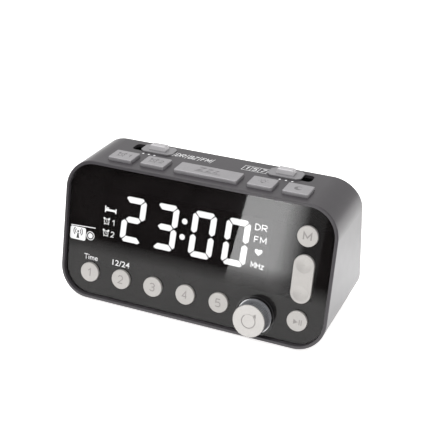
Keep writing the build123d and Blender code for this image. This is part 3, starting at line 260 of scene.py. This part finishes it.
FINISHES = {
    "case_black": moulded("case_black", (0.044, 0.040, 0.045), 0.30, 0.45, 0.004, 0.10, spread=0.012),
    "frame_black": moulded("frame_black", (0.016, 0.015, 0.016), 0.16, 0.6, 0.001, 0.2, spread=0.03),
    "lens_smoke": smoked("lens_smoke", (0.009, 0.0078, 0.0078), LENS_OPACITY),
    "display_black": moulded("display_black", (0.006, 0.006, 0.006), 0.8, 0.5, 0.01),
    "led_lit": glowing("led_lit", (1.0, 1.0, 1.0), GLOW),
    "led_dark": moulded("led_dark", (0.012, 0.012, 0.013), 0.6, 0.6, 0.004),
    "icon_film": moulded("icon_film", (0.006, 0.006, 0.006), 0.7, 0.6, 0.004),
    "board_green": circuit_board("board_green", (0.02, 0.13, 0.06), (0.05, 0.24, 0.10)),
    "switch_black": moulded("switch_black", (0.02, 0.02, 0.02), 0.5, 0.4, 0.006),
    "button_silver": moulded("button_silver", SILVER, 0.42, 0.5, 0.008, 0.09, metallic=0.25),
    "key_grey": moulded("key_grey", (0.33, 0.322, 0.334), 0.40, 0.45, 0.012, 0.12, metallic=0.3),
    "knob_dark": moulded("knob_dark", (0.30, 0.305, 0.325), 0.30, 0.5, 0.006, 0.08, metallic=0.45),
    "ring_chrome": metal("ring_chrome", (0.62, 0.62, 0.63), 0.20),
    "tin_grey": metal("tin_grey", (0.55, 0.56, 0.57), 0.38, (6, 1, 1)),
    "nylon_white": moulded("nylon_white", (0.75, 0.74, 0.70), 0.5, 0.6, 0.006),
    "steel_bright": metal("steel_bright", (0.6, 0.6, 0.6), 0.25, (1, 6, 1)),
    "cover_black": moulded("cover_black", (0.026, 0.026, 0.027), 0.48, 0.55, 0.020, 0.14),
    "screw_black": metal("screw_black", (0.05, 0.05, 0.05), 0.45),
    "screw_zinc": metal("screw_zinc", (0.62, 0.63, 0.64), 0.3),
    "foam_black": open_cells("foam_black", (0.02, 0.02, 0.02), 0.8, 0.3),
    "cone_paper": open_cells("cone_paper", (0.05, 0.046, 0.042), 0.5, 0.08),
    "magnet_grey": moulded("magnet_grey", (0.10, 0.10, 0.11), 0.6, 0.8, 0.02),
    "cell_wrap": moulded("cell_wrap", (0.06, 0.15, 0.27), 0.25, 3.0, 0.002, 0.2),
    "spring_nickel": metal("spring_nickel", (0.66, 0.64, 0.6), 0.3),
    "part_black": moulded("part_black", (0.018, 0.018, 0.018), 0.45, 0.4, 0.008),
    "rubber_black": moulded("rubber_black", (0.018, 0.018, 0.018), 0.8, 0.5, 0.02),
    "ribbon_grey": moulded("ribbon_grey", (0.42, 0.42, 0.42), 0.5, 1.2, 0.03, 0.15),
    "lead_red": moulded("lead_red", (0.42, 0.03, 0.025), 0.4, 0.8, 0.006),
}

PRINT_WHITE = moulded("print_white", (0.78, 0.78, 0.79), 0.5, 0.3, 0.002)
PRINT_DARK = moulded("print_dark", (0.02, 0.02, 0.021), 0.5, 0.3, 0.002)
# The marks on the buttons and the knob are engraved. Their darker colour is painted shade that stands in
# for the shade in the grooves, drawn on thin raised sheets.
ENGRAVED_SHADE = moulded("engraved_shade", (0.25, 0.235, 0.23), 0.55, 0.3, 0.004)
KEY_MARK = moulded("key_mark", (0.15, 0.145, 0.15), 0.5, 0.3, 0.004)

for part in frame["record"]["subparts"]:
    cad_object = frame["nodes"][part["node"]]
    finish = FINISHES[part["material_slot"]]
    for material_slot in cad_object.material_slots:
        material_slot.material = finish
GRIP_HEIGHT = 2.6
GRIP_FOOT = TOP_ORIGIN[2] + span("band_selector", TOP)[1][2] - GRIP_HEIGHT
NODE_FINISHES = {
    "knob_cap": moulded("cap_silver", CAP_SILVER, 0.40, 0.5, 0.008, 0.09, metallic=0.25),
    "band_selector": two_levels("selector_grey", (0.26, 0.255, 0.265), (0.50, 0.49, 0.505), GRIP_FOOT),
}
NODE_FINISHES["timer_selector"] = NODE_FINISHES["band_selector"]
for node, finish in NODE_FINISHES.items():
    for material_slot in frame["nodes"][node].material_slots:
        material_slot.material = finish


# ---------------------------------------------------------------- printed and lit marks

def prisms(name, outlines, surface, level, material, body, depth=0.03):
    """One piece from flat outlines in mm, drawn at a level above a surface and raised by depth."""
    vertices, faces = [], []
    for outline in outlines:
        first, count = len(vertices), len(outline)
        for height in (level, level + depth):
            vertices += [surface @ (Vector((x, y, height)) * MM) for x, y in outline]
        faces.append([first + i for i in reversed(range(count))])
        faces.append([first + count + i for i in range(count)])
        for i in range(count):
            j = (i + 1) % count
            faces.append([first + i, first + j, first + count + j, first + count + i])
    mesh = bpy.data.meshes.new(name)
    mesh.from_pydata(vertices, [], faces)
    mesh.materials.append(material)
    piece = bpy.data.objects.new(name, mesh)
    bpy.context.scene.collection.objects.link(piece)
    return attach(piece, body)


def disc(x, y, radius, sides=32):
    return [[(x + radius * cos(2 * pi * i / sides), y + radius * sin(2 * pi * i / sides))
             for i in range(sides)]]


def arc(x, y, radius, start, end, steps=24):
    """Points along an arc, with angles in degrees."""
    angles = [radians(start + (end - start) * i / steps) for i in range(steps + 1)]
    return [(x + radius * cos(a), y + radius * sin(a)) for a in angles]


def stroke(points, width, closed=False):
    """Quads that follow a line at the given width, mitred at its corners."""
    points = [Vector(p) for p in points]
    count = len(points)
    left, right = [], []
    for i, point in enumerate(points):
        before = points[i - 1] if closed or i > 0 else point
        after = points[(i + 1) % count] if closed or i < count - 1 else point
        arms = [v.normalized() for v in (point - before, after - point) if v.length > 0]
        along = sum(arms, Vector((0, 0))).normalized()
        normal = Vector((-along.y, along.x))
        reach = width / 2 / max(0.4, abs(along.dot(arms[0])))
        left.append(point + normal * reach)
        right.append(point - normal * reach)
    quads = []
    for i in range(count if closed else count - 1):
        j = (i + 1) % count
        quads.append([right[i], right[j], left[j], left[i]])
    return quads


def ring(x, y, radius, width, sides=32):
    return stroke(arc(x, y, radius, 0, 360 * (sides - 1) / sides, sides - 1), width, closed=True)


def bar(x, y, width, height, lean=0.0):
    """A rectangle about its centre, its top pushed sideways by lean."""
    w, h = width / 2, height / 2
    return [[(x - w - lean, y - h), (x + w - lean, y - h), (x + w + lean, y + h), (x - w + lean, y + h)]]


def moved(outlines, x, y, scale=1.0):
    return [[(x + px * scale, y + py * scale) for px, py in outline] for outline in outlines]


def lettering(name, text, box, surface, level, material, body, bold=0.0, depth=0.03):
    """Characters of Blender's own font, fitted to a box (x, y, width, height) in mm."""
    curve = bpy.data.curves.new(name, "FONT")
    curve.body = text
    curve.offset = bold
    curve.resolution_u = 3
    source = bpy.data.objects.new(name + ".source", curve)
    bpy.context.scene.collection.objects.link(source)
    bpy.context.view_layer.update()
    flat = bpy.data.meshes.new_from_object(source.evaluated_get(bpy.context.evaluated_depsgraph_get()))
    bpy.data.objects.remove(source)
    xs = [v.co.x for v in flat.vertices]
    ys = [v.co.y for v in flat.vertices]
    scale_x = box[2] / (max(xs) - min(xs))
    scale_y = box[3] / (max(ys) - min(ys))
    middle = ((max(xs) + min(xs)) / 2, (max(ys) + min(ys)) / 2)
    for v in flat.vertices:
        x = box[0] + (v.co.x - middle[0]) * scale_x
        y = box[1] + (v.co.y - middle[1]) * scale_y
        v.co = surface @ (Vector((x, y, level)) * MM)
    flat.name = name
    flat.materials.clear()
    flat.materials.append(material)
    piece = bpy.data.objects.new(name, flat)
    bpy.context.scene.collection.objects.link(piece)
    solid = piece.modifiers.new("thickness", "SOLIDIFY")
    solid.thickness = depth * MM
    solid.offset = 1.0
    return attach(piece, body)


# strokes of each character in a unit square, and how wide the character is beside the others
GLYPHS = {
    "B": (1.0, [[(0, 0.52), (0.75, 0.52), (0.95, 0.66), (0.95, 0.86), (0.75, 1), (0, 1), (0, 0),
                 (0.78, 0), (1, 0.16), (1, 0.38), (0.75, 0.52)]]),
    "D": (1.0, [[(0.5, 0), (0, 0), (0, 1), (0.5, 1), (1, 0.7), (1, 0.3), (0.5, 0)]]),
    "F": (0.9, [[(0, 0), (0, 1), (1, 1)], [(0, 0.52), (0.8, 0.52)]]),
    "H": (1.0, [[(0, 0), (0, 1)], [(1, 0), (1, 1)], [(0, 0.5), (1, 0.5)]]),
    "M": (1.2, [[(0, 0), (0, 1), (0.5, 0.3), (1, 1), (1, 0)]]),
    "R": (1.0, [[(0, 0), (0, 1), (0.78, 1), (1, 0.86), (1, 0.62), (0.78, 0.48), (0, 0.48)],
                [(0.5, 0.48), (1, 0)]]),
    "Z": (1.0, [[(0, 1), (1, 1), (0, 0), (1, 0)]]),
    "z": (0.8, [[(0, 0.66), (1, 0.66), (0, 0), (1, 0)]]),
    "1": (0.5, [[(0, 0.74), (0.9, 1), (0.9, 0)]]),
    "2": (0.9, [[(0, 0.8), (0.25, 1), (0.78, 1), (1, 0.8), (1, 0.58), (0, 0), (1, 0)]]),
    "3": (0.9, [[(0, 0.86), (0.3, 1), (0.75, 1), (1, 0.82), (1, 0.64), (0.72, 0.52), (0.4, 0.52)],
                [(0.72, 0.52), (1, 0.38), (1, 0.18), (0.72, 0), (0.28, 0), (0, 0.14)]]),
    "4": (1.0, [[(0.75, 0), (0.75, 1), (0, 0.3), (1, 0.3)]]),
    "5": (0.9, [[(0.95, 1), (0.1, 1), (0.03, 0.55), (0.65, 0.62), (1, 0.44), (1, 0.16), (0.7, 0),
                 (0, 0.05)]]),
    "7": (0.9, [[(0, 1), (1, 1), (0.35, 0)]]),
}
LETTER_SPACE = 0.42
LIT_CLOCK = 4.3
KEY_CLOCK = 5.4
HEART_WIDTH = 4.4
BADGE_WAVES = 7.0
MARK_STROKE = 0.62


def word(text, box, width, lean=0.0):
    """Characters drawn as strokes of one width, fitted to a box (x, y, width, height) in mm."""
    x, y, across, tall = box
    total = sum(GLYPHS[c][0] for c in text) + LETTER_SPACE * (len(text) - 1)
    unit = (across - width) / total
    tall -= width
    left = -(across - width) / 2
    shapes = []
    for c in text:
        share, lines = GLYPHS[c]
        for line in lines:
            points = [(left + px * share * unit + lean * (py - 0.5) * tall, (py - 0.5) * tall)
                      for px, py in line]
            shapes += moved(stroke(points, width), x, y)
        left += (share + LETTER_SPACE) * unit
    return shapes


def rounded(x, y, width, height, radius):
    """A rectangle with round corners about its centre."""
    points = []
    for sx, sy, start in ((1, 1, 0), (-1, 1, 90), (-1, -1, 180), (1, -1, 270)):
        points += arc(x + sx * (width / 2 - radius), y + sy * (height / 2 - radius), radius,
                      start, start + 90, 6)
    return [points]


def heart(width):
    """A heart's outline about its own middle."""
    points = []
    for i in range(40):
        t = 2 * pi * i / 40
        x = 16 * sin(t) ** 3
        y = 13 * cos(t) - 5 * cos(2 * t) - 2 * cos(3 * t) - cos(4 * t)
        points.append((x * width / 32, (y + 2.5) * width / 32))
    return [list(reversed(points))]


def alarm_clock(size):
    """A bell alarm clock's face, hands, bells and feet, in a square of the given size."""
    shapes = ring(0, -0.04, 0.34, 0.085, 28)
    shapes += stroke([(0, 0.17), (0, -0.04), (0.15, -0.12)], 0.07)
    for side in (-1, 1):
        shapes += disc(side * 0.35, 0.36, 0.14, 16)
        shapes += stroke([(side * 0.24, -0.32), (side * 0.35, -0.48)], 0.09)
    return moved(shapes, 0, 0, size)


def radio_waves(size):
    """A generic broadcast sign: a mast with arcs on both sides."""
    shapes = disc(0, 0.12, 0.09, 20)
    shapes += [[(-0.05, 0.0), (0.05, 0.0), (0.13, -0.46), (-0.13, -0.46)]]
    for radius in (0.24, 0.40):
        shapes += stroke(arc(0, 0.12, radius, -48, 48, 12), 0.075)
        shapes += stroke(arc(0, 0.12, radius, 132, 228, 12), 0.075)
    return moved(shapes, 0, 0, size)


lens_front = span("front_lens", FACE)[1][2]
window_front = span("display_housing", FACE)[1][2]
PRINT_LIFT = 0.01

# icons lit behind the lens: name, what is drawn, and its middle up the face
LIT_WORDS = (("lit_dr", "DR", (36.65, 61.3, 6.9, 3.7)), ("lit_fm", "FM", (36.85, 54.4, 7.1, 3.7)),
             ("lit_mhz", "MHz", (36.8, 40.1, 7.6, 3.6)))
LIT_STROKE = 0.46
for name, text, box in LIT_WORDS:
    prisms(name, word(text, box, LIT_STROKE), FACE, window_front + PRINT_LIFT, FINISHES["led_lit"],
           "case")
prisms("lit_heart", moved(heart(HEART_WIDTH), 36.65, 47.3), FACE, window_front + PRINT_LIFT,
       FINISHES["led_lit"], "case")

BED = (-53.0, 53.5)
bed = bar(0, -0.3, 6.2, 1.2) + bar(-3.3, 0.1, 0.6, 3.9) + bar(3.3, -0.35, 0.6, 2.9)
bed += bar(-1.9, 0.85, 1.7, 0.6)
prisms("lit_bed", moved(bed, *BED), FACE, window_front + PRINT_LIFT, FINISHES["led_lit"], "case")
for number, s in (("1", 46.5), ("2", 39.6)):
    prisms("lit_alarm_" + number, moved(alarm_clock(LIT_CLOCK), -55.1, s), FACE, window_front + PRINT_LIFT,
           FINISHES["led_lit"], "case")
    digit_box = (-50.9, s - 0.2, 1.7 + 0.5 * (number == "2"), 3.4)
    prisms("lit_alarm_number_" + number, word(number, digit_box, 0.42),
           FACE, window_front + PRINT_LIFT, FINISHES["led_lit"], "case")

# printing on the lens
ink = dict(surface=FACE, level=lens_front + PRINT_LIFT, material=PRINT_WHITE, body="case")
first_x, first_s, button_top = centre("preset_1", FACE)
second_x = centre("preset_2", FACE)[0]
lettering("print_time", "Time", (first_x - 0.4, first_s + 8.6, 8.8, 3.2), bold=0.01, **ink)
lettering("print_12_24", "12/24", (second_x - 1.1, first_s + 8.7, 10.85, 3.4), bold=0.01, **ink)
BADGE = (-68.55, 37.2)
badge = rounded(-3.1, -0.6, 10.0, 7.6, 1.2) + disc(4.9, -0.6, 1.5, 24) + ring(4.9, -0.6, 2.4, 0.4, 28)
badge += stroke([(-7.9, 3.7), (7.9, 4.5)], 0.45)
prisms("print_broadcast_sign", moved(badge, *BADGE), **ink)
INK_DEPTH = 0.03
prisms("print_broadcast_waves", moved(radio_waves(BADGE_WAVES), BADGE[0] - 3.1, BADGE[1] - 0.3), FACE,
       lens_front + PRINT_LIFT + INK_DEPTH, PRINT_DARK, "case", 0.01)

# marks on the round buttons, darkened by painted groove shade
for number in range(1, 6):
    node = f"preset_{number}"
    x, s, level = centre(node, FACE)
    width = 2.1 if number == 1 else 3.3
    prisms(f"mark_{node}", word(str(number), (x - 0.1, s, width, 5.0), MARK_STROKE), FACE, level, ENGRAVED_SHADE,
           node + "_button", 0.02)
x, s, level = centre("mode_button", FACE)
prisms("mark_mode", word("M", (x, s, 5.0, 4.6), 0.85), FACE, level, ENGRAVED_SHADE, "mode_push", 0.02)
x, s, level = centre("play_button", FACE)
play = [[(-1.9, -1.5), (0.6, 0.0), (-1.9, 1.5)]] + bar(1.5, 0, 0.55, 3.0) + bar(2.6, 0, 0.55, 3.0)
prisms("mark_play", moved(play, x, s - 0.4), FACE, level, ENGRAVED_SHADE, "play_push", depth=0.02)

# the knob's arrow, chasing round its cap, darkened by painted groove shade
x, s, level = centre("knob_cap", FACE)
turn = stroke(arc(0, 0, 3.8, 130, 410, 40), 0.45)
turn += [[(2.1, 3.6), (4.0, 2.2), (3.7, 4.7)]]
prisms("mark_knob", moved(turn, x, s), FACE, level, ENGRAVED_SHADE, "tuning_knob", depth=0.02)

# marks on the top keys
KEY_DEPTH = dict(surface=TOP, material=KEY_MARK, depth=0.02)
for number in ("1", "2"):
    node = f"alarm_{number}_key"
    x, y, level = centre(node, TOP)
    digit_box = (x + 3.2, y, 2.0 + 0.4 * (number == "2"), 3.8)
    mark = moved(alarm_clock(KEY_CLOCK), x - 1.7, y) + word(number, digit_box, 0.55)
    prisms("mark_alarm_" + number, mark, level=level, body=node + "_cap", **KEY_DEPTH)
x, y, level = centre("snooze_key", TOP)
snooze = []
for offset, size in ((-4.6, 4.4), (0.2, 3.6), (4.2, 2.8)):
    z_mark = stroke([(-0.4, 0.5), (0.4, 0.5), (-0.4, -0.5), (0.4, -0.5)], 0.17)
    snooze += moved(z_mark, offset, 0.6 - offset * 0.05, size)
snooze += bar(0, -2.6, 15.0, 0.5)
prisms("mark_snooze", moved(snooze, x, y), level=level, body="snooze_key_cap", **KEY_DEPTH)
x, y, level = centre("light_key", TOP)
bulb = ring(0, 0.5, 1.35, 0.42, 24) + bar(0, -1.35, 1.3, 0.4) + bar(0, -1.95, 0.9, 0.35)
for angle in range(0, 181, 45):
    bulb += stroke(arc(0, 0.5, 2.3, angle, angle, 1)[:1] + arc(0, 0.5, 3.0, angle, angle, 1)[:1], 0.35)
prisms("mark_light", moved(bulb, x, y), level=level, body="light_key_cap", **KEY_DEPTH)
x, y, level = centre("sleep_key", TOP)
moon = [arc(0, 0, 2.3, 60, 330, 24) + arc(1.1, 0.65, 1.75, 305, 85, 20)]
prisms("mark_sleep", moved(moon, x, y), level=level, body="sleep_key_cap", **KEY_DEPTH)

# printing on the case top, beside the slide selectors
top_ink = dict(surface=TOP, level=PRINT_LIFT, material=PRINT_WHITE, body="case")
LABEL_Y = 29.3
LABEL_HEIGHT = 4.5
LABEL_STROKE = 0.55
LABEL_LEAN = 0.2
for name, text, x, width in (("dr", "DR", -23.9, 5.4), ("bz", "BZ", -16.0, 5.2), ("fm", "FM", -8.2, 5.6)):
    label = word(text, (x, LABEL_Y, width, LABEL_HEIGHT), LABEL_STROKE, LABEL_LEAN)
    prisms("print_band_" + name, label, **top_ink)
band_rules = []
for x in (-27.7, -20.0, -12.2, -4.4):
    band_rules += bar(x, LABEL_Y, 0.35, 6.0, 0.5)
prisms("print_band_rules", band_rules, **top_ink)
for text, x, width in (("1", 16.5, 1.6), ("5", 21.2, 2.7), ("7", 26.0, 2.7)):
    label = word(text, (x, LABEL_Y, width, LABEL_HEIGHT), LABEL_STROKE, LABEL_LEAN)
    prisms("print_timer_" + text, label, **top_ink)
timer_rules = stroke([(14.0, 26.2), (28.3, 26.2), (28.9, 32.4), (14.6, 32.4)], 0.3, closed=True)
timer_rules += bar(18.9, LABEL_Y, 0.3, 6.0, 0.3) + bar(23.6, LABEL_Y, 0.3, 6.0, 0.3)
prisms("print_timer_rules", timer_rules, **top_ink)
DOT_Y = 22.5
DOT_RADIUS = 0.65
dots = []
for x in (-44.2, -40.7, -37.2, 38.0, 41.6, 45.2):
    dots += disc(x, DOT_Y, DOT_RADIUS, 16)
prisms("print_selector_dots", dots, **top_ink)


# ---------------------------------------------------------------- stage

def lamp(name, place, aim, size, watts):
    light = bpy.data.lights.new(name, "AREA")
    light.shape = "RECTANGLE"
    light.size, light.size_y = size
    light.energy = watts
    light_object = bpy.data.objects.new(name, light)
    light_object.location = place
    light_object.rotation_euler = (Vector(aim) - Vector(place)).to_track_quat("-Z", "Y").to_euler()
    bpy.context.scene.collection.objects.link(light_object)
    return light_object


CARD_STEPS = 12


def card(name, corners, strength, across, along, height):
    """A studio card that only reflections see, fading at its edges by two lists of ramp stops."""
    vertices, faces, places = [], [], []
    for j in range(CARD_STEPS + 1):
        for i in range(CARD_STEPS + 1):
            u, v = i / CARD_STEPS, j / CARD_STEPS
            near = Vector(corners[0]).lerp(Vector(corners[1]), u)
            far = Vector(corners[3]).lerp(Vector(corners[2]), u)
            point = near.lerp(far, v)
            vertices.append((point.x * MM, point.y * MM, height * MM))
            places.append((u, v))
    row = CARD_STEPS + 1
    for j in range(CARD_STEPS):
        for i in range(CARD_STEPS):
            first = j * row + i
            faces.append([first, first + 1, first + row + 1, first + row])
    mesh = bpy.data.meshes.new(name)
    mesh.from_pydata(vertices, [], faces)
    layer = mesh.uv_layers.new(name="UVMap")
    for loop in mesh.loops:
        layer.data[loop.index].uv = places[loop.vertex_index]
    material = bpy.data.materials.new(name)
    material.use_nodes = True
    tree = material.node_tree
    tree.nodes.clear()
    where = tree.nodes.new("ShaderNodeSeparateXYZ")
    tree.links.new(tree.nodes.new("ShaderNodeTexCoord").outputs["UV"], where.inputs["Vector"])
    product = tree.nodes.new("ShaderNodeMath")
    product.operation = "MULTIPLY"
    for socket, axis, stops in ((0, "X", across), (1, "Y", along)):
        fade = ramp(tree, where.outputs[axis], [(position, (v, v, v)) for position, v in stops])
        tree.links.new(fade, product.inputs[socket])
    light = tree.nodes.new("ShaderNodeEmission")
    light.inputs["Strength"].default_value = strength
    mix = tree.nodes.new("ShaderNodeMixShader")
    tree.links.new(product.outputs[0], mix.inputs["Fac"])
    tree.links.new(tree.nodes.new("ShaderNodeBsdfTransparent").outputs[0], mix.inputs[1])
    tree.links.new(light.outputs[0], mix.inputs[2])
    tree.links.new(mix.outputs[0], tree.nodes.new("ShaderNodeOutputMaterial").inputs["Surface"])
    mesh.materials.append(material)
    board = bpy.data.objects.new(name, mesh)
    bpy.context.scene.collection.objects.link(board)
    board.visible_camera = False
    board.visible_diffuse = False
    board.visible_shadow = False
    return board


FLOOR_HALF = 4.0
FLOOR_LIGHT = 0.75
floor_mesh = bpy.data.meshes.new("floor")
floor_mesh.from_pydata([(-FLOOR_HALF, -FLOOR_HALF, 0), (FLOOR_HALF, -FLOOR_HALF, 0),
                        (FLOOR_HALF, FLOOR_HALF, 0), (-FLOOR_HALF, FLOOR_HALF, 0)], [], [(0, 1, 2, 3)])
floor_finish = moulded("floor_white", (0.90, 0.90, 0.90), 0.7, 40.0, 0.0, 0.01)
floor_finish.node_tree.nodes["Principled BSDF"].inputs["Emission Color"].default_value = (1, 0.99, 0.98, 1)
floor_finish.node_tree.nodes["Principled BSDF"].inputs["Emission Strength"].default_value = FLOOR_LIGHT
floor_mesh.materials.append(floor_finish)
floor = bpy.data.objects.new("floor", floor_mesh)
bpy.context.scene.collection.objects.link(floor)

lamp("softbox_top", (-0.4, -0.3, 1.5), (0, 0, 0.04), (1.4, 1.4), 14)
card("dark_card", [(-900, -172), (500, -172), (1500, -2400), (-2500, -2400)], 0.0,
     ((0.0, 1.0), (1.0, 1.0)), ((0.0, 0.0), (0.035, 1.0)), 1.0)
card("reflected_softbox", [(-28, -160), (36, -160), (-210, -1150), (-355, -1150)], 9.6,
     ((0.0, 1.0), (0.50, 1.0), (0.80, 0.05), (1.0, 0.04)), ((0.0, 0.0), (0.05, 0.30), (0.12, 1.0)), 4.0)
card("right_softbox", [(85, -160), (700, -160), (900, 900), (85, 900)], 2.4,
     ((0.0, 1.0), (1.0, 1.0)), ((0.17, 0.55), (0.22, 1.0), (0.27, 0.3), (0.32, 0.15)), 2.0)

world = bpy.data.worlds.new("studio")
world.use_nodes = True
world.node_tree.nodes["Background"].inputs["Color"].default_value = (1.0, 0.995, 0.99, 1)
world.node_tree.nodes["Background"].inputs["Strength"].default_value = 0.8
bpy.context.scene.world = world
bpy.context.scene.view_settings.view_transform = "Standard"

# ---------------------------------------------------------------- camera
back = Vector((sin(CAMERA_AZIMUTH) * cos(CAMERA_ELEVATION), -cos(CAMERA_AZIMUTH) * cos(CAMERA_ELEVATION),
               sin(CAMERA_ELEVATION)))
level_right = Vector((cos(CAMERA_AZIMUTH), sin(CAMERA_AZIMUTH), 0))
level_up = back.cross(level_right)
right = level_right * cos(CAMERA_ROLL) + level_up * sin(CAMERA_ROLL)
up = back.cross(right)
camera_data = bpy.data.cameras.new("camera")
camera_data.lens = CAMERA_LENS
camera_data.sensor_width = CAMERA_SENSOR
camera_data.clip_start = 0.01
camera = bpy.data.objects.new("camera", camera_data)
bpy.context.scene.collection.objects.link(camera)
pose = Matrix((right, up, back)).transposed().to_4x4()
pose.translation = (Vector(CAMERA_TARGET) + back * CAMERA_DISTANCE) * MM
camera.matrix_world = pose
bpy.context.scene.camera = camera
